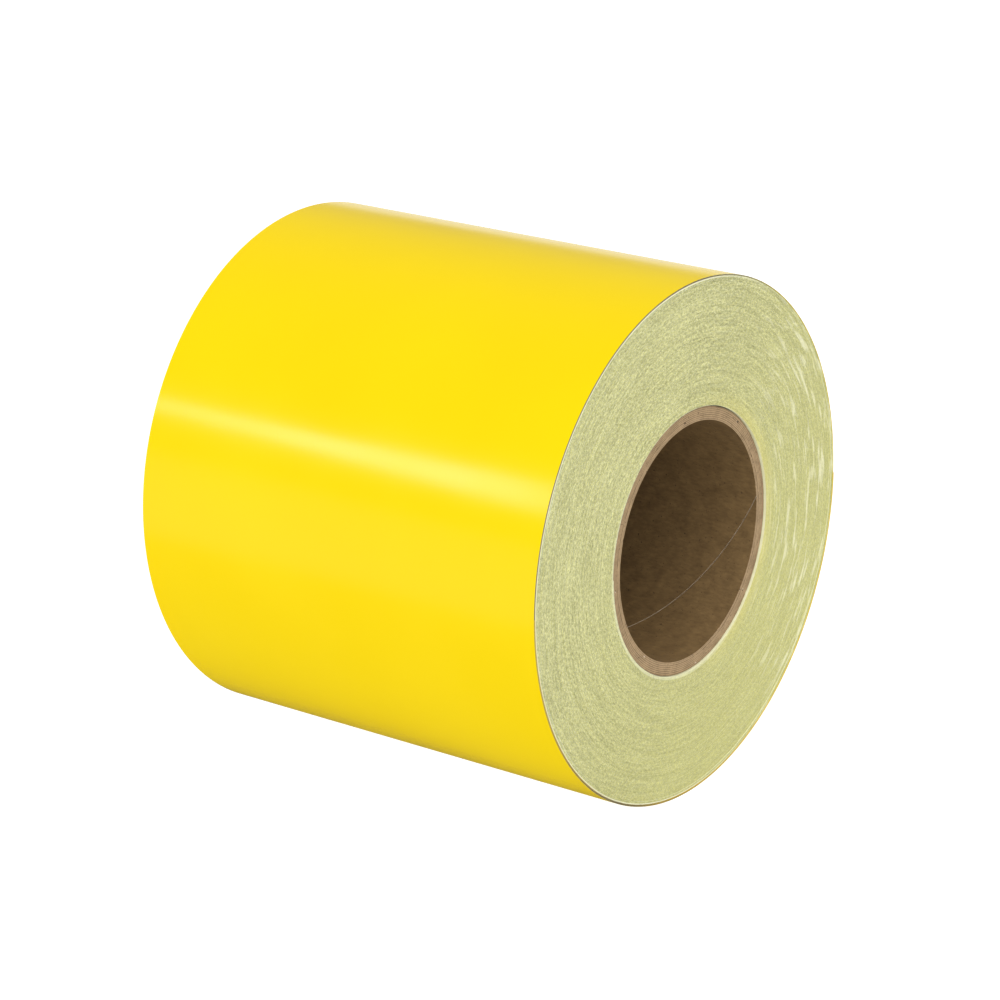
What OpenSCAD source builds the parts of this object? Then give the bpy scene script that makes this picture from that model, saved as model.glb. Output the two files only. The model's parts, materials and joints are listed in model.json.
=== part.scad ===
// Roll of sign vinyl on a spiral-wound paperboard core.
// The web is one continuous strip of adhesive-backed film on a release liner, wound face out.
// The roll's axis lies along Y, the roll lies on its side, and the origin is the middle of the axis.

/* [Core] */
// Bore of the core, a nominal 3 inch tube
bore_d = 77; // [76:0.1:78]
// Length of the core, a little less than the web is wide
core_length = 150.4; // [149:0.1:152]
// Thickness of the smooth ply that lines the bore
inner_ply_t = 0.4; // [0.3:0.05:0.6]
// Thickness of each body ply
body_ply_t = 0.6; // [0.5:0.05:0.7]
// Thickness of the smooth ply on the outside
outer_ply_t = 0.3; // [0.2:0.05:0.4]
// Length of core that one turn of a ply's strip covers
ply_lead = 123; // [110:1:140]
// Width of the butt gap between the edges of a ply's strip
seam_gap = 0.4; // [0.3:0.05:0.6]

/* [Web] */
// Width that the web is slit to
web_w = 152.4; // [150.5:0.1:160]
// Thickness of the film with its adhesive coat
film_t = 0.16; // [0.1:0.01:0.2]
// Thickness of the release liner
liner_t = 0.18; // [0.12:0.01:0.2]
// Air left between layers
layer_gap = 0.01; // [0.01:0.005:0.02]
// Even number of half turns before the last one, which ends in the tail
half_turns = 228; // [40:2:240]

/* [Tail] */
// Number of stiff panels that the free end of the web is divided into
tail_panels = 7; // [5:1:12]

/* [Tapes] */
// Thickness of both tapes
tape_t = 0.09; // [0.06:0.01:0.1]
// Width of the tape that fixes the web to the core
starter_tape_w = 25; // [20:1:40]
// Width of the tape that holds the free end down
end_tape_w = 25; // [15:1:50]
// Length of it that is stuck to the tail
end_tape_on_tail = 14; // [5:1:15]
// Length of it that reaches past the free end
end_tape_past_end = 22; // [10:1:40]

/* [Hidden] */
body_plies = 6;

kraft = [0.62, 0.48, 0.34];
film_yellow = [1.0, 0.86, 0.0];
liner_white = [0.93, 0.94, 0.84];
tape_white = [0.90, 0.89, 0.84];

bore_r = bore_d / 2;
body_r = bore_r + inner_ply_t;
outer_ply_r = body_r + body_plies * body_ply_t;
core_r = outer_ply_r + outer_ply_t;

// A spiral of half circles: each half turn is pitch / 2 larger than the one before, and the halves'
// centres lie pitch / 2 apart, so that each half meets the next with no step.
pitch = liner_t + film_t + 2 * layer_gap;
centre_offset = pitch / 4;
first_r = core_r + tape_t + layer_gap + centre_offset;
film_inset = liner_t + layer_gap;

// The tail starts half a panel past the foot of the roll and ends level with the axis. Unrolled, its
// panels then lie in a straight row, and none of them reaches lower than the roll does.
panel_angle = 90 / (tail_panels + 0.5);
tail_start = 270 + panel_angle / 2;
tail_r = turn_r(half_turns);

// The slit that parts a ply's edges runs past both ends of the core. The bore's seam starts at
// seam_start on the end that faces -Y, and each ply's seam is turned from that of the ply before it.
seam_length = web_w;
seam_turn = 360 * seam_length / ply_lead;
seam_start = 9;
seam_stagger = 135;
seam_slices = 72;
tape_start = 180;
fine = 96;

function turn_r(k) = first_r + k * pitch / 2;
function turn_centre(k) = (k % 2 == 0 ? 1 : -1) * centre_offset;

// A strip bent round the roll's axis, between two angles counted from +X towards +Z.
module bent_strip(inner_r, thickness, width, from, sweep, centre = 0) {
    translate([centre, 0, 0])
        rotate([90, 0, 0])
            rotate([0, 0, from])
                rotate_extrude(angle = sweep, $fn = fine)
                    translate([inner_r, -width / 2])
                        square([thickness, width]);
}

// One half turn of a layer. Even half turns pass under the roll, and odd ones over it.
module half_turn(k, inset, thickness) {
    bent_strip(turn_r(k) + inset, thickness, web_w, k % 2 == 0 ? 180 : 0, 180, turn_centre(k));
}

// Half turns from first up to, but not including, last, joined in pairs of like size.
module wind(first, last, inset, thickness) {
    if (last - first <= 4) {
        for (k = [first : last - 1]) half_turn(k, inset, thickness);
    } else {
        middle = floor((first + last) / 2);
        wind(first, middle, inset, thickness);
        wind(middle, last, inset, thickness);
    }
}

// A whole layer of the web, from the core to where the tail starts.
module wound_layer(inset, thickness) {
    wind(0, half_turns, inset, thickness);
    bent_strip(tail_r + inset, thickness, web_w, 180, tail_start - 180, centre_offset);
}

// The part of a layer on one panel of the tail.
module tail_layer(panel, inset, thickness) {
    bent_strip(tail_r + inset, thickness, web_w,
        tail_start + (panel - 1) * panel_angle, panel_angle, centre_offset);
}

// A ply of the core: a paper strip wound in a helix, with a gap where its edges meet.
module ply(inner_r, thickness, number) {
    rotate([90, 0, 0])
        difference() {
            cylinder(r = inner_r + thickness, h = core_length, center = true, $fn = fine);
            cylinder(r = inner_r, h = seam_length, center = true, $fn = fine);
            rotate([0, 0, seam_start - seam_turn - number * seam_stagger])
                linear_extrude(height = seam_length, center = true, slices = seam_slices,
                        twist = -seam_turn)
                    translate([inner_r - thickness / 2, -seam_gap / 2])
                        square([2 * thickness, seam_gap]);
        }
}

module core_inner_ply() {
    color(kraft) ply(bore_r, inner_ply_t, 0);
}

module core_body_ply(number) {
    color(kraft) ply(body_r + (number - 1) * body_ply_t, body_ply_t, number);
}

module core_outer_ply() {
    color(kraft) ply(outer_ply_r, outer_ply_t, body_plies + 1);
}

// Fixes the leading edge of the web to the core, along its whole length.
module starter_tape() {
    sweep = starter_tape_w / core_r * 180 / PI;
    color(tape_white) bent_strip(core_r, tape_t, core_length, tape_start, sweep);
}

module wound_film() {
    color(film_yellow) wound_layer(film_inset, film_t);
}

module wound_liner() {
    color(liner_white) wound_layer(0, liner_t);
}

module tail_film(panel) {
    color(film_yellow) tail_layer(panel, film_inset, film_t);
}

module tail_liner(panel) {
    color(liner_white) tail_layer(panel, 0, liner_t);
}

// Holds the free end down. It is stuck to the last panel, and to the turn below past the free end.
module end_tape() {
    inner_r = tail_r + pitch;
    on_tail = end_tape_on_tail / inner_r * 180 / PI;
    past_end = end_tape_past_end / inner_r * 180 / PI;
    color(tape_white)
        bent_strip(inner_r, tape_t, end_tape_w, 360 - on_tail, on_tail + past_end, centre_offset);
}

core_inner_ply();
for (number = [1 : body_plies])
    core_body_ply(number);
core_outer_ply();
starter_tape();
wound_film();
wound_liner();
for (panel = [1 : tail_panels]) {
    tail_film(panel);
    tail_liner(panel);
}
end_tape();
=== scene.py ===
import json
import math
import random

import bpy
from mathutils import Matrix, Vector, noise


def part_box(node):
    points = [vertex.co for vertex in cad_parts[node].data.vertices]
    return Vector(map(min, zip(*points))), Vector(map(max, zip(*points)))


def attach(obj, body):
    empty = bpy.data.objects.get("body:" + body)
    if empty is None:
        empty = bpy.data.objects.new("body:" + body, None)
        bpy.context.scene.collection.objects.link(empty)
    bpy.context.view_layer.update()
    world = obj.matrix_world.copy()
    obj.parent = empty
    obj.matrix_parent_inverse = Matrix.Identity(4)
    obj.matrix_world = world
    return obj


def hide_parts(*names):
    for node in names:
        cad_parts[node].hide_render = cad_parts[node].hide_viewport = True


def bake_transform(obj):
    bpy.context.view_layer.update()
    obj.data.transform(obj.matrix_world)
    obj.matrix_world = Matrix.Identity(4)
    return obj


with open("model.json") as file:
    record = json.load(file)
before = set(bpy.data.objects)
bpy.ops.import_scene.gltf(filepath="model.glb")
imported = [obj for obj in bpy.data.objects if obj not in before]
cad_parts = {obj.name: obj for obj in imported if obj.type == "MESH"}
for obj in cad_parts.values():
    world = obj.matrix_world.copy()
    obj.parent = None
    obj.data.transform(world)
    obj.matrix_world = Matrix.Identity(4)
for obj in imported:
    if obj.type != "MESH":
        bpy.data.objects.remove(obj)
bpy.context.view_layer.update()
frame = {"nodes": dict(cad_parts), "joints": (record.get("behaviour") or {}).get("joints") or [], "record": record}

# Camera
# A long lens looks down at the roll from in front and to its left, so that one end and the side show.
# It aims a little off the roll's centre, and its distance is counted in radii of the roll.
film_low, film_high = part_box("wound_film")
roll_radius = -film_low.z
camera_azimuth = math.radians(-53.73)
camera_elevation = math.radians(19.0)
camera_distance = 13.37 * roll_radius
aim_right, aim_down = 0.00165, 0.00158

camera_data = bpy.data.cameras.new("camera")
camera_data.sensor_width = 36
camera_data.lens = 125.9
camera = bpy.data.objects.new("camera", camera_data)
bpy.context.scene.collection.objects.link(camera)
bpy.context.scene.camera = camera
camera.rotation_euler = (math.pi / 2 - camera_elevation, 0, camera_azimuth)
camera_turn = camera.rotation_euler.to_matrix()
aim = camera_turn @ Vector((aim_right, -aim_down, 0))
camera.location = aim + camera_turn @ Vector((0, 0, camera_distance))
camera_data.clip_start, camera_data.clip_end = 0.05, 50


# Lights
# A white studio, darker at the back and below. A broad soft light hangs high on the left. A strip box on
# the left runs away behind the roll, and is only there for the soft band that it draws along the film.
def direction(azimuth, elevation):
    """The way to a light, its azimuth from -Y towards +X, in degrees."""
    turn, rise = math.radians(azimuth), math.radians(elevation)
    level = math.cos(rise)
    return Vector((level * math.sin(turn), -level * math.cos(turn), math.sin(rise)))


broad_data = bpy.data.lights.new("broad_light", "SUN")
broad_data.energy, broad_data.angle = 1.3, math.radians(60)
broad_light = bpy.data.objects.new("broad_light", broad_data)
bpy.context.scene.collection.objects.link(broad_light)
broad_light.rotation_euler = Vector((-0.55, -0.35, 0.76)).to_track_quat("Z", "Y").to_euler()

band_height = math.radians(155)
band_middle = roll_radius * Vector((math.cos(band_height), 0, math.sin(band_height)))
half_width = Vector((0, film_high.y, 0))
strip_near = band_middle - half_width + 0.55 * direction(-125.2, 22)
strip_far = band_middle + half_width + 2.2 * direction(-134.2, 21)
strip_height = 0.11
strip_along = (strip_far - strip_near).normalized()
strip_middle = (strip_near + strip_far) / 2
strip_up = strip_middle.cross(strip_along).normalized()
strip_back = strip_along.cross(strip_up)
strip_data = bpy.data.lights.new("strip_box", "AREA")
strip_data.shape = "RECTANGLE"
strip_data.size, strip_data.size_y = (strip_far - strip_near).length, strip_height
strip_data.energy = 6.5
strip_box = bpy.data.objects.new("strip_box", strip_data)
bpy.context.scene.collection.objects.link(strip_box)
strip_turn = Matrix((strip_along, strip_up, strip_back)).transposed().to_4x4()
strip_box.matrix_world = Matrix.Translation(strip_middle) @ strip_turn
strip_box.visible_diffuse = False


class Signal:
    """A socket of a node tree, so that shader maths is written as plain sums."""

    def __init__(self, tree, socket=None):
        self.tree, self.socket = tree, socket

    def node(self, kind, settings=None, inputs=None, output=0):
        """Adds a node, with its settings and then its inputs."""
        made = self.tree.nodes.new(kind)
        for name, value in (settings or {}).items():
            setattr(made, name, value)
        for name, value in (inputs or {}).items():
            if isinstance(value, Signal):
                self.tree.links.new(value.socket, made.inputs[name])
            else:
                made.inputs[name].default_value = value
        return Signal(self.tree, made.outputs[output])

    def maths(self, operation, first, second=0.0):
        return self.node("ShaderNodeMath", {"operation": operation}, {0: first, 1: second})

    def __add__(self, other):
        return self.maths("ADD", self, other)

    def __sub__(self, other):
        return self.maths("SUBTRACT", self, other)

    def __rsub__(self, other):
        return self.maths("SUBTRACT", other, self)

    def __mul__(self, other):
        return self.maths("MULTIPLY", self, other)

    def __pow__(self, other):
        return self.maths("POWER", self, other)

    def mix(self, first, second):
        """A colour that goes from the first to the second as this signal goes from 0 to 1."""
        return self.node(
            "ShaderNodeMix", {"data_type": "RGBA"}, {0: self, 6: first, 7: second}, output=2
        )

    def stretch(self, low, high):
        """This signal, stretched and clamped so that low becomes 0 and high becomes 1."""
        return self.node("ShaderNodeMapRange", inputs={0: self, 1: low, 2: high, 3: 0.0, 4: 1.0})

    def axes(self):
        """The three numbers of a vector."""
        parts = self.node("ShaderNodeSeparateXYZ", inputs={0: self}).socket.node.outputs
        return [Signal(self.tree, part) for part in parts]


world = bpy.data.worlds.new("studio")
bpy.context.scene.world = world
world.use_nodes = True
world_shader = world.node_tree.nodes["Background"]
world_shader.inputs["Strength"].default_value = 1.25
_, sky_y, sky_z = Signal(world.node_tree).node("ShaderNodeTexCoord").axes()
sky_tent = sky_y.stretch(0.05, 0.42).mix((1, 1, 1, 1), (0.24, 0.24, 0.24, 1))
sky_low = sky_z.stretch(-0.45, -0.36).mix((0.05, 0.05, 0.05, 1), (0.7, 0.7, 0.7, 1))
sky_colour = sky_z.stretch(0.06, 0.11).mix(sky_low, sky_tent)
world.node_tree.links.new(sky_colour.socket, world_shader.inputs["Color"])
bpy.context.scene.view_settings.view_transform = "Standard"


# Floor
# A table of frosted sheet that glows white, so wide that its edge is never in view. It is hidden from
# glossy rays, so that nothing on the roll reflects it.
def new_material(name, **constants):
    """A material with one Principled shader, whose constant inputs are set here."""
    made = bpy.data.materials.new(name)
    made.use_nodes = True
    shader = made.node_tree.nodes["Principled BSDF"]
    for key, value in constants.items():
        shader.inputs[key.replace("_", " ")].default_value = value
    return made, shader, Signal(made.node_tree).node("ShaderNodeTexCoord", output=3)


def speckle(place, size, detail=2.0, roughness=0.5, stretch=(1, 1, 1)):
    """Noise of about the given size in metres."""
    spread = place.node("ShaderNodeMapping", inputs={"Vector": place, "Scale": stretch})
    return place.node(
        "ShaderNodeTexNoise",
        inputs={"Vector": spread, "Scale": 1 / size, "Detail": detail, "Roughness": roughness},
    )


def feed(shader, name, signal):
    shader.id_data.links.new(signal.socket, shader.inputs[name])


def emboss(shader, height, distance, strength=1.0):
    """Bumps the surface by a height signal, whose full swing stands for a distance in metres."""
    feed(
        shader,
        "Normal",
        height.node(
            "ShaderNodeBump", inputs={"Strength": strength, "Distance": distance, "Height": height}
        ),
    )


floor_side = 12
floor_gap = 0.0001
bpy.ops.object.select_all(action="DESELECT")
bpy.ops.mesh.primitive_plane_add(size=floor_side, location=(0, 0, film_low.z - floor_gap))
floor = bpy.context.object
floor.name = "floor"
frosted_sheet, floor_shader, floor_place = new_material(
    "frosted_sheet",
    Roughness=0.9,
    Specular_IOR_Level=0.1,
    Emission_Color=(1, 1, 1, 1),
    Emission_Strength=1.0,
)
floor_shade = speckle(floor_place, 0.4)
feed(floor_shader, "Base Color", floor_shade.mix((0.22, 0.22, 0.22, 1), (0.24, 0.24, 0.24, 1)))
floor.data.materials.append(frosted_sheet)
floor.visible_glossy = False

# Core
# A paperboard tube of eight plies. Each ply is a strip of kraft paper, wound in a helix with its edges
# butted and glued to the ply below. The tube is then sawn to length, which leaves the ends ragged. The seam in the
# bore is a painted highlight: the face of the ply below shows through the gap, and both it and the gap's edges are
# painted a pale kraft, standing for a raised paper edge that catches the light.
bore_mount = next(m for m in frame["record"]["mounts"] if m["name"] == "core_bore")
bore_radius = bore_mount["dims"]["r_mm"] / 1000
core_end = bore_mount["dims"]["length_mm"] / 2000
strip_lead = 0.123
butt_gap = 0.0004
first_seam = math.radians(9)
seam_stagger = math.radians(135)
web_end = film_high.y
body_ply_count = sum(name.startswith("core_body_ply") for name in frame["nodes"])
ply_names = ["core_inner_ply"]
ply_names += [f"core_body_ply_{n}" for n in range(1, body_ply_count + 1)]
ply_names += ["core_outer_ply"]
ply_steps = 240
glue_line = 0.00002
saw_wander = 0.0001
fibre_wander = 0.00009


def strip_line(name, radius, low, high, cuts):
    """A straight line along the roll, the width of a strip, ready to be swept round."""
    bpy.ops.object.select_all(action="DESELECT")
    bpy.ops.mesh.primitive_grid_add(
        x_subdivisions=1, y_subdivisions=cuts + 1, size=high - low, location=(0, (low + high) / 2, 0)
    )
    line = bpy.context.object
    line.name = name
    bpy.ops.object.mode_set(mode="EDIT")
    bpy.ops.mesh.select_mode(type="VERT")
    bpy.ops.mesh.select_all(action="DESELECT")
    bpy.ops.object.mode_set(mode="OBJECT")
    for vertex in line.data.vertices:
        vertex.select = vertex.co.x < 0
    bpy.ops.object.mode_set(mode="EDIT")
    bpy.ops.mesh.delete(type="VERT")
    bpy.ops.mesh.select_all(action="SELECT")
    bpy.ops.transform.translate(value=(radius - (high - low) / 2, 0, 0))
    bpy.ops.object.mode_set(mode="OBJECT")
    bpy.ops.object.transform_apply(location=True, rotation=True, scale=True)
    return line


def sweep(line, degrees, rise, steps):
    """Sweeps a line round the roll's axis, with a rise along it that makes a helix."""
    screw = line.modifiers.new("sweep", "SCREW")
    screw.axis = "Y"
    screw.angle, screw.screw_offset = math.radians(degrees), rise
    screw.steps = screw.render_steps = steps
    screw.use_smooth_shade = True
    bpy.ops.object.modifier_apply(modifier="sweep")


def give_wall(piece, thickness, face, rim=None):
    """Turns a swept surface into a sheet, with its thickness outwards and its edges in a rim material."""
    piece.data.materials.append(face)
    piece.data.materials.append(rim or face)
    outward = sum(p.normal.x * p.center.x + p.normal.z * p.center.z for p in piece.data.polygons) > 0
    wall = piece.modifiers.new("wall", "SOLIDIFY")
    wall.thickness = thickness
    wall.offset = 1 if outward else -1
    wall.use_even_offset = True
    wall.use_flip_normals = not outward
    wall.material_offset_rim = 1
    bpy.ops.object.modifier_apply(modifier="wall")
    bpy.ops.object.mode_set(mode="EDIT")
    bpy.ops.mesh.select_all(action="SELECT")
    bpy.ops.mesh.normals_make_consistent(inside=False)
    bpy.ops.object.mode_set(mode="OBJECT")
    bpy.ops.object.shade_smooth_by_angle(angle=math.radians(40))


def from_axis(place):
    """The distance from the roll's axis."""
    x, _, z = place.axes()
    return (x * x + z * z) ** 0.5


def kraft(name, dark, light, glue, roughness):
    """Kraft paper, mottled and full of fibres, with a dark glue line wherever two plies meet."""
    made, shader, place = new_material(name, Specular_IOR_Level=0.2)
    mottle = speckle(place, 0.004, 3).stretch(0.3, 0.7)
    fibre = speckle(place, 0.0009, 4, 0.7, (1, 0.35, 1)).stretch(0.3, 0.7)
    flecks = speckle(place, 0.0007, 1).stretch(0.70, 0.76)
    from_joint = place.maths("PINGPONG", from_axis(place) - first_body_radius, body_thickness / 2)
    glued = 1 - (from_joint + mottle * 0.00006).stretch(0.00006, 0.00017)
    tone = (mottle * 0.4 + fibre * 0.6).mix(dark, light)
    feed(shader, "Base Color", flecks.maths("MAXIMUM", flecks, glued * 0.75).mix(tone, glue))
    feed(shader, "Roughness", fibre * 0.15 + roughness)
    emboss(shader, fibre, 0.0001, 0.5)
    return made


first_body_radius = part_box(ply_names[0])[1].x
body_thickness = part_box(ply_names[1])[1].x - first_body_radius
kraft_board = kraft(
    "kraft_board", (0.25, 0.172, 0.094, 1), (0.40, 0.28, 0.155, 1), (0.10, 0.065, 0.035, 1), 0.8
)
kraft_lining = kraft(
    "kraft_lining", (0.11, 0.066, 0.026, 1), (0.22, 0.138, 0.056, 1), (0.05, 0.03, 0.015, 1), 0.6
)
# A pale kraft for the seam in the bore, a painted highlight.
seam_highlight_kraft = kraft(
    "seam_highlight_kraft", (0.40, 0.31, 0.21, 1), (0.60, 0.49, 0.36, 1), (0.25, 0.18, 0.11, 1), 0.85
)

random.seed(11)
inner_radius = bore_radius
ply_turns = (2 * web_end + strip_lead) / strip_lead
for number, node_name in enumerate(ply_names):
    outer_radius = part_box(node_name)[1].x
    edge = -web_end - strip_lead + butt_gap / 2
    ply = strip_line(node_name + "_strip", inner_radius, edge, edge + strip_lead - butt_gap, 15)
    sweep(ply, 360 * ply_turns, strip_lead * ply_turns, round(ply_steps * ply_turns))
    ply.rotation_euler = (0, number * seam_stagger - first_seam, 0)
    bpy.ops.object.transform_apply(location=True, rotation=True, scale=True)
    bpy.ops.object.mode_set(mode="EDIT")
    for side in (-1, 1):
        bpy.ops.mesh.select_all(action="SELECT")
        bpy.ops.mesh.bisect(plane_co=(0, side * core_end, 0), plane_no=(0, side, 0), clear_outer=True)
    bpy.ops.object.mode_set(mode="OBJECT")
    # The wall of the ply below the lining, seen through the seam, and every butt edge are painted the pale seam
    # kraft, a painted highlight.
    wall_material = (kraft_lining, seam_highlight_kraft)[number] if number < 2 else kraft_board
    give_wall(ply, outer_radius - inner_radius - glue_line, wall_material, seam_highlight_kraft)
    ply.data.materials.append(kraft_board)
    for face in ply.data.polygons:
        if face.material_index == 1 and abs(face.center.y) > core_end - fibre_wander:
            face.material_index = 2
    sawn = random.uniform(-saw_wander, saw_wander)
    for vertex in ply.data.vertices:
        if abs(abs(vertex.co.y) - core_end) < fibre_wander:
            ragged = fibre_wander * noise.noise(vertex.co * 900 + Vector((number * 7, 0, 0)))
            vertex.co.y += math.copysign(sawn + ragged, vertex.co.y)
    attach(ply, "roll")
    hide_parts(node_name)
    "core_lining" if number == 0 else "core_board"
    inner_radius = outer_radius


# Starter tape
# A strip of paper tape, stuck along the core under the web's leading edge. Only its ends show, as a
# thin pale line between the core and the first turn of liner.
def tape_paper(name, shade, colour):
    """Creped paper tape, matt, with fine wrinkles across its length."""
    made, shader, place = new_material(name, Roughness=0.75, Specular_IOR_Level=0.3)
    crepe = speckle(place, 0.0012, 3, 0.6, (1, 0.22, 1)).stretch(0.3, 0.7)
    feed(shader, "Base Color", crepe.mix(shade, colour))
    emboss(shader, crepe, 0.00008, 0.6)
    return made


starter = frame["nodes"]["starter_tape"]
starter.data.materials.clear()
starter.data.materials.append(tape_paper("starter_paper", (0.6, 0.53, 0.36, 1), (0.72, 0.66, 0.48, 1)))

# Wound film
# Calendered vinyl with an adhesive back, wound face out in one long spiral. The spiral is drawn as half
# turns, each half a pitch larger in radius than the last, and centred on the other side of the axis.
film_thickness = 0.00016
liner_thickness = 0.00018
air = 0.00001
pitch = film_thickness + liner_thickness + 2 * air
centre_shift = pitch / 4
first_radius = -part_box("starter_tape")[0].x + air + centre_shift
film_inset = liner_thickness + air
half_turns = round((roll_radius - film_inset - film_thickness - first_radius) / (pitch / 2))
foot = 180 * half_turns + 90
outer_start = 180 * (half_turns - 2)
web_parts = (0, outer_start / 2, outer_start)
web_step = 2.25
web_wander = 0.00004
inner_step_back = 0.0002
proud_turns = 4


def web_point(wound, depth):
    """Where the web is when it has wound through so many degrees, at a depth in its thickness."""
    half = int(wound // 180)
    centre = centre_shift if half % 2 == 0 else -centre_shift
    radius = first_radius + half * pitch / 2 + depth
    angle = math.radians(180 + wound)
    return centre + radius * math.cos(angle), radius * math.sin(angle)


def wind(name, start, end, step, inset, thickness, face, rim=None, cuts=0, edge_back=0):
    """Winds a layer of the web: a line is swept round, and each step pulled out to its radius."""
    reach = web_end - edge_back
    sheet = strip_line(name, web_point(start, inset)[0], -reach, reach, cuts)
    steps = round((end - start) / step)
    sweep(sheet, end - start, 0, steps)
    across = len(sheet.data.vertices) // (steps + 1)
    for vertex in sheet.data.vertices:
        wound = start + (vertex.index // across) * (end - start) / steps
        vertex.co.x, vertex.co.z = web_point(wound, inset)
    give_wall(sheet, thickness, face, rim)
    return sheet


def turns_wound(place, middle):
    """How many turns the web has made at a place on a layer whose middle lies at this depth."""
    angle = math.atan2(place.z, place.x) / (2 * math.pi) % 1
    turns = (math.hypot(place.x, place.z) - first_radius - middle) / pitch - 0.25
    return angle + round(turns - angle) + 0.5


def wander(sheet, middle, own):
    """Moves each turn a little along the roll, as a web does while it is wound."""
    last_inner = half_turns / 2 - proud_turns
    for vertex in sheet.data.vertices:
        turn = turns_wound(vertex.co, middle)
        slow = noise.noise(Vector((turn * 0.9, 3.7, 0)))
        quick = noise.noise(Vector((turn * 7.3, 9.1, 0)))
        rough = noise.noise(Vector((turn * 23, middle * 1000, math.copysign(5, vertex.co.y))))
        inner = min(max((last_inner - turn) * 8, 0), 1)
        vertex.co.y += web_wander * (slow + 0.6 * quick) + own * rough + inner_step_back * inner


def lay_out(sheet, middle):
    """A map for baking: both end faces as discs side by side, and the hidden walls in a band below."""
    layout = sheet.data.uv_layers.new(name="OFBake")
    across = 2 * roll_radius * 1.02
    disc = 0.5
    wall_middle, wall_height = 0.24, 0.45
    wall_left, wall_length = 0.01, 0.97
    for face in sheet.data.polygons:
        for loop in face.loop_indices:
            place = sheet.data.vertices[sheet.data.loops[loop].vertex_index].co
            if abs(face.normal.y) > 0.7:
                left = disc if face.normal.y > 0 else 0
                right_by = disc / 2 + disc * place.x / across
                up_by = 1 - disc / 2 + disc * place.z / across
                layout.data[loop].uv = (left + right_by, up_by)
            else:
                along = turns_wound(place, middle) * 360 / foot
                up_by = wall_middle + wall_height * place.y / (2 * web_end)
                layout.data[loop].uv = (wall_left + wall_length * along, up_by)


def film_vinyl(name):
    """Glossy vinyl, a deep even yellow, with a faint ripple and the orange peel of a calender."""
    made, shader, place = new_material(name, IOR=1.42, Specular_IOR_Level=0.3)
    cloud = speckle(place, 0.05, 2).stretch(0.3, 0.7)
    feed(shader, "Base Color", cloud.mix((0.79, 0.57, 0.0, 1), (0.81, 0.59, 0.0, 1)))
    feed(shader, "Roughness", cloud * 0.05 + 0.16)
    emboss(shader, speckle(place, 0.03, 1) + speckle(place, 0.0025, 2) * 0.05, 0.0001)
    return made


# Where the ring of painted highlight by the core fades out.
core_highlight_fade = (0.0007, 0.0011)
halo_fade = (0.0003, 0.006)
# How far in from the rim the line of painted highlight and the band of painted shade begin.
rim_shade_inset, rim_highlight_inset, rim_fade = 0.00062, 0.00105, 0.0001
# The colour of the painted shade at the rim, and the yellow of the halo by the core.
rim_gap_shade, core_halo_yellow = (0.15, 0.115, 0.04, 1), (0.74, 0.67, 0.2, 1)


def cut_edge(name, dark, light, glint):
    """A slit edge: knife marks, scuffs and a yellower halo by the core; painted light adds highlights by the core
    and the rim, shade at the rim, and flatter marks to the lower right.
    """
    made, shader, place = new_material(name, Specular_IOR_Level=0.3)
    x, _, z = place.axes()
    radius = from_axis(place)
    drawn = place.node("ShaderNodeCombineXYZ", inputs={0: x, 1: z, 2: radius * 1.6})
    coarse = speckle(drawn, 0.0011, 3, 0.75).stretch(0.34, 0.66)
    fine = speckle(drawn, 0.0005, 2, 0.6).stretch(0.34, 0.66)
    rings = speckle(drawn, 0.0012, 3, 0.6, (0.06, 0.06, 1)).stretch(0.3, 0.7)
    # Painted light: the marks lose contrast towards the lower right, where the light runs along them, and they are
    # tinted a little yellower there.
    flat_light_side = (x - z).stretch(-0.06, 0.08)
    tone = (coarse * 0.5 + fine * 0.25 + rings * 0.25 - 0.5) * (1.35 - flat_light_side * 0.6) + 0.5
    scuffs = speckle(drawn, 0.0026, 2, 0.5, (0.22, 0.22, 1)).stretch(0.54, 0.68) * x.stretch(0.03, 0.06)
    # A ring of painted highlight just outside the core, on the lit left and lower side.
    ring = 1 - radius.stretch(*(first_radius + past_core for past_core in core_highlight_fade))
    core_ring_highlight = ring * (0 - x - z).stretch(-0.01, 0.03)
    # Scuffs and the painted highlight by the core both lighten towards the glint colour.
    pale = scuffs.maths("MAXIMUM", scuffs * 0.7, core_ring_highlight * 0.45)
    lower_right_tint = flat_light_side.mix((1, 1, 1, 1), (0.97, 0.96, 0.82, 1))
    body = tone.mix(dark, light)
    tinted = body.node(
        "ShaderNodeMix",
        {"data_type": "RGBA", "blend_type": "MULTIPLY"},
        {0: 1.0, 6: body, 7: lower_right_tint},
        output=2,
    )
    # The edges turn yellower towards the core, on the right side only.
    halo = 1 - radius.stretch(*(first_radius + past_core for past_core in halo_fade))
    halo = halo * x.stretch(0.0, 0.03)
    near = 1 - x.stretch(0.0, 0.05)
    # On the near side there is a line of painted highlight inside the rim. Outside it, a band of painted shade
    # stands for the shadow in the gap behind the outermost turns.
    painted_rim_highlight, painted_rim_shade = (
        radius.stretch(roll_radius - inside - rim_fade, roll_radius - inside) * near
        for inside in (rim_highlight_inset, rim_shade_inset)
    )
    halo_tinted = (halo * 0.5).mix(pale.mix(tinted, glint), core_halo_yellow)
    lined = (painted_rim_highlight * 0.95).mix(halo_tinted, glint)
    feed(shader, "Base Color", (painted_rim_shade * 0.85).mix(lined, rim_gap_shade))
    feed(shader, "Roughness", coarse * 0.25 + 0.5)
    emboss(shader, coarse + fine * 0.5, 0.0003)
    return made


yellow_vinyl = film_vinyl("yellow_vinyl")
film_edge = cut_edge("film_edge", (0.30, 0.28, 0.035, 1), (0.83, 0.79, 0.19, 1), (0.90, 0.88, 0.56, 1))
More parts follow.
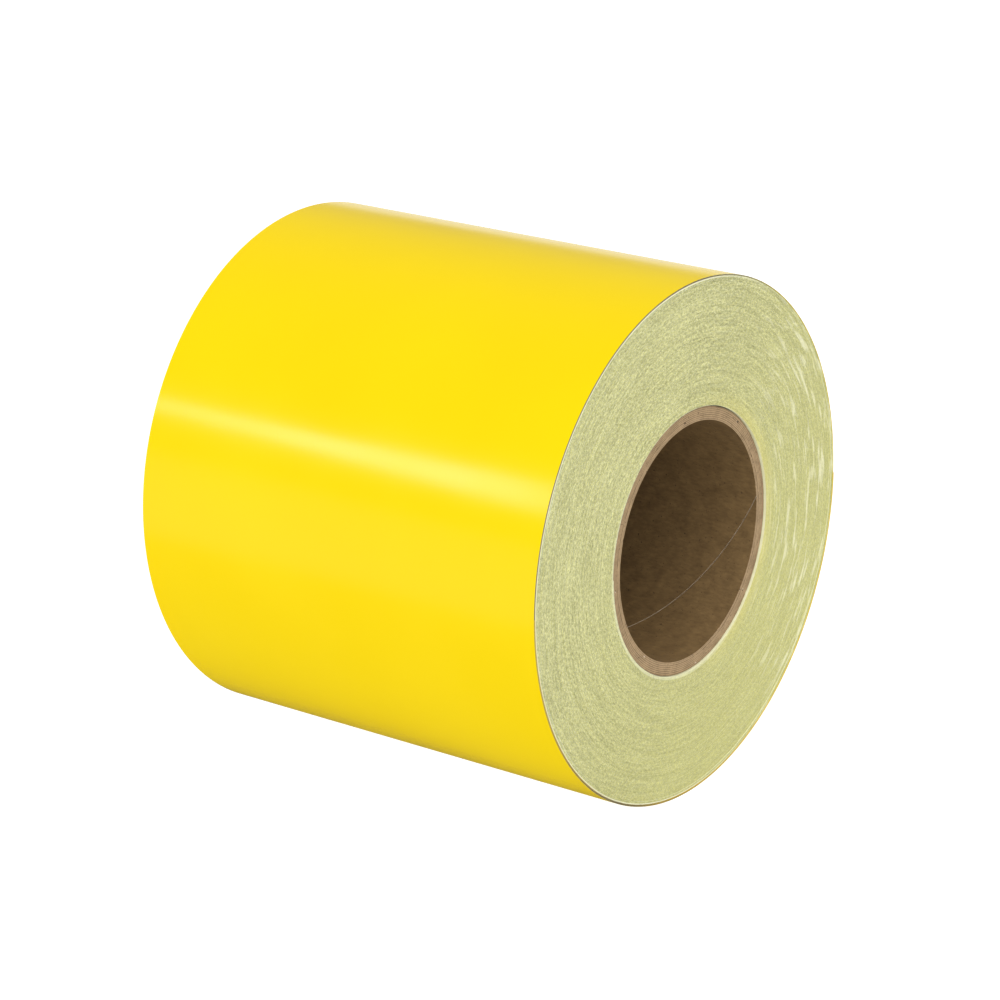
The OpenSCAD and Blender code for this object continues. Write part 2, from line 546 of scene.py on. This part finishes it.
# The cut edges of the outer turn and the tail are a pale cream rather than the film's own yellow: a painted
# highlight along the rim.
rim_edge_highlight = cut_edge("rim_edge_highlight", (0.66, 0.56, 0.24, 1), (0.86, 0.76, 0.42, 1), (0.92, 0.88, 0.62, 1))
film_middle = film_inset + film_thickness / 2
for number, (start, end) in enumerate(zip(web_parts, web_parts[1:]), 1):
    name = f"film_turns_{number}"
    film_part = wind(name, start, end, web_step, film_inset, film_thickness, film_edge)
    lay_out(film_part, film_middle)
    wander(film_part, film_middle, 0.00002)
    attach(film_part, "roll")
    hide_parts("wound_film")

# Outer turn of the film
# The last turn and a quarter. Most of it shows, and the tail lies over a quarter turn of it. It ends at
# the foot of the roll, where the tail's first sheet carries on.
width_cuts = 29
fine_step = 1.5
outer_span = (outer_start, foot, fine_step)
outer_film = wind(
    "outer_turn_film", *outer_span, film_inset, film_thickness, yellow_vinyl, rim_edge_highlight, width_cuts
)
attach(outer_film, "roll")
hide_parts("wound_film")


# Wound liner
# Release paper, coated on the side that the adhesive touches. It lies under the film all the way. Under the outer
# turn it is a little narrower, which adds real shadow to the band of painted shade inside the roll's rim.
def release_paper(name):
    """Coated release paper: smooth, off-white and faintly mottled."""
    made, shader, place = new_material(name, Specular_IOR_Level=0.45)
    mottle = speckle(place, 0.004, 3).stretch(0.3, 0.7)
    feed(shader, "Base Color", mottle.mix((0.76, 0.75, 0.47, 1), (0.82, 0.81, 0.55, 1)))
    feed(shader, "Roughness", mottle * 0.1 + 0.38)
    emboss(shader, mottle, 0.00003, 0.3)
    return made


pale_liner = release_paper("pale_liner")
rim_recess = 0.00038
liner_edge = cut_edge("liner_edge", (0.30, 0.315, 0.18, 1), (0.88, 0.89, 0.64, 1), (0.91, 0.90, 0.68, 1))
liner_middle = liner_thickness / 2
liner_parts = (*web_parts, foot)
for number, (start, end) in enumerate(zip(liner_parts, liner_parts[1:]), 1):
    edge_back = rim_recess if start == outer_start else 0
    name = f"liner_turns_{number}"
    span = (start, end, web_step)
    liner_part = wind(name, *span, 0, liner_thickness, pale_liner, liner_edge, 0, edge_back)
    lay_out(liner_part, liner_middle)
    wander(liner_part, liner_middle, 0.00003)
    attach(liner_part, "roll")
    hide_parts("wound_liner")

# Tail
# The last quarter turn, which lifts off and lies flat. Its panels are stiff, so each sheet here crosses one hinge,
# from the middle of a panel to the middle of the next.
tail_joints = frame["joints"]
tail_end = 180 * (half_turns + 1)
panel = (tail_end - foot) / (len(tail_joints) + 0.5)
tail_step = 0.5
for number, joint in enumerate(tail_joints, 1):
    start = foot + (number - 1) * panel
    middle = start + panel
    end = middle if number < len(tail_joints) else tail_end
    blend_from, blend_to = (Vector((x, 0, z)) for x, z in (web_point(start, 0), web_point(middle, 0)))
    layers = (
        ("film", film_inset, film_thickness, yellow_vinyl, rim_edge_highlight, 0),
        ("liner", 0, liner_thickness, pale_liner, liner_edge, rim_recess),
    )
    for layer, inset, thickness, face, rim, edge_back in layers:
        name = f"tail_{layer}_sheet_{number}"
        span = (start, end, tail_step)
        sheet = wind(name, *span, inset, thickness, face, rim, width_cuts, edge_back)
        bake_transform(sheet)
        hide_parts(f"tail_{layer}_{number}")

# End tape
# A short piece of creped paper tape holds the free end down. It was pressed on by thumb across the
# end of the tail, and steps down past it onto the turn below.
tape_low, tape_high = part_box("end_tape")
tape_thickness = 0.00009
tape_arc_before = 9.5
tape_arc_after = 14.9
step_arc = 2.5
tape_step = 0.5
tape_arc = tape_arc_before + tape_arc_after
tape_steps = round(tape_arc / tape_step)
tape = strip_line("end_tape_strip", roll_radius, tape_low.y, tape_high.y, 9)
sweep(tape, tape_arc, 0, tape_steps)
tape_across = len(tape.data.vertices) // (tape_steps + 1)
on_tail = first_radius + half_turns * pitch / 2 + pitch
on_turn = on_tail - pitch / 2
for vertex in tape.data.vertices:
    past_end = (vertex.index // tape_across) * tape_arc / tape_steps - tape_arc_before
    angle = math.radians(past_end)
    stepped = min(max(past_end / step_arc, 0), 1)
    stepped = stepped * stepped * (3 - 2 * stepped)
    upper = Vector((centre_shift + on_tail * math.cos(angle), on_tail * math.sin(angle)))
    lower = Vector((-centre_shift + on_turn * math.cos(angle), on_turn * math.sin(angle)))
    vertex.co.x, vertex.co.z = upper.lerp(lower, stepped)
give_wall(tape, tape_thickness, tape_paper("tape_crepe", (0.66, 0.64, 0.56, 1), (0.82, 0.80, 0.74, 1)))
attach(tape, tail_joints[-1]["child"])
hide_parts("end_tape")
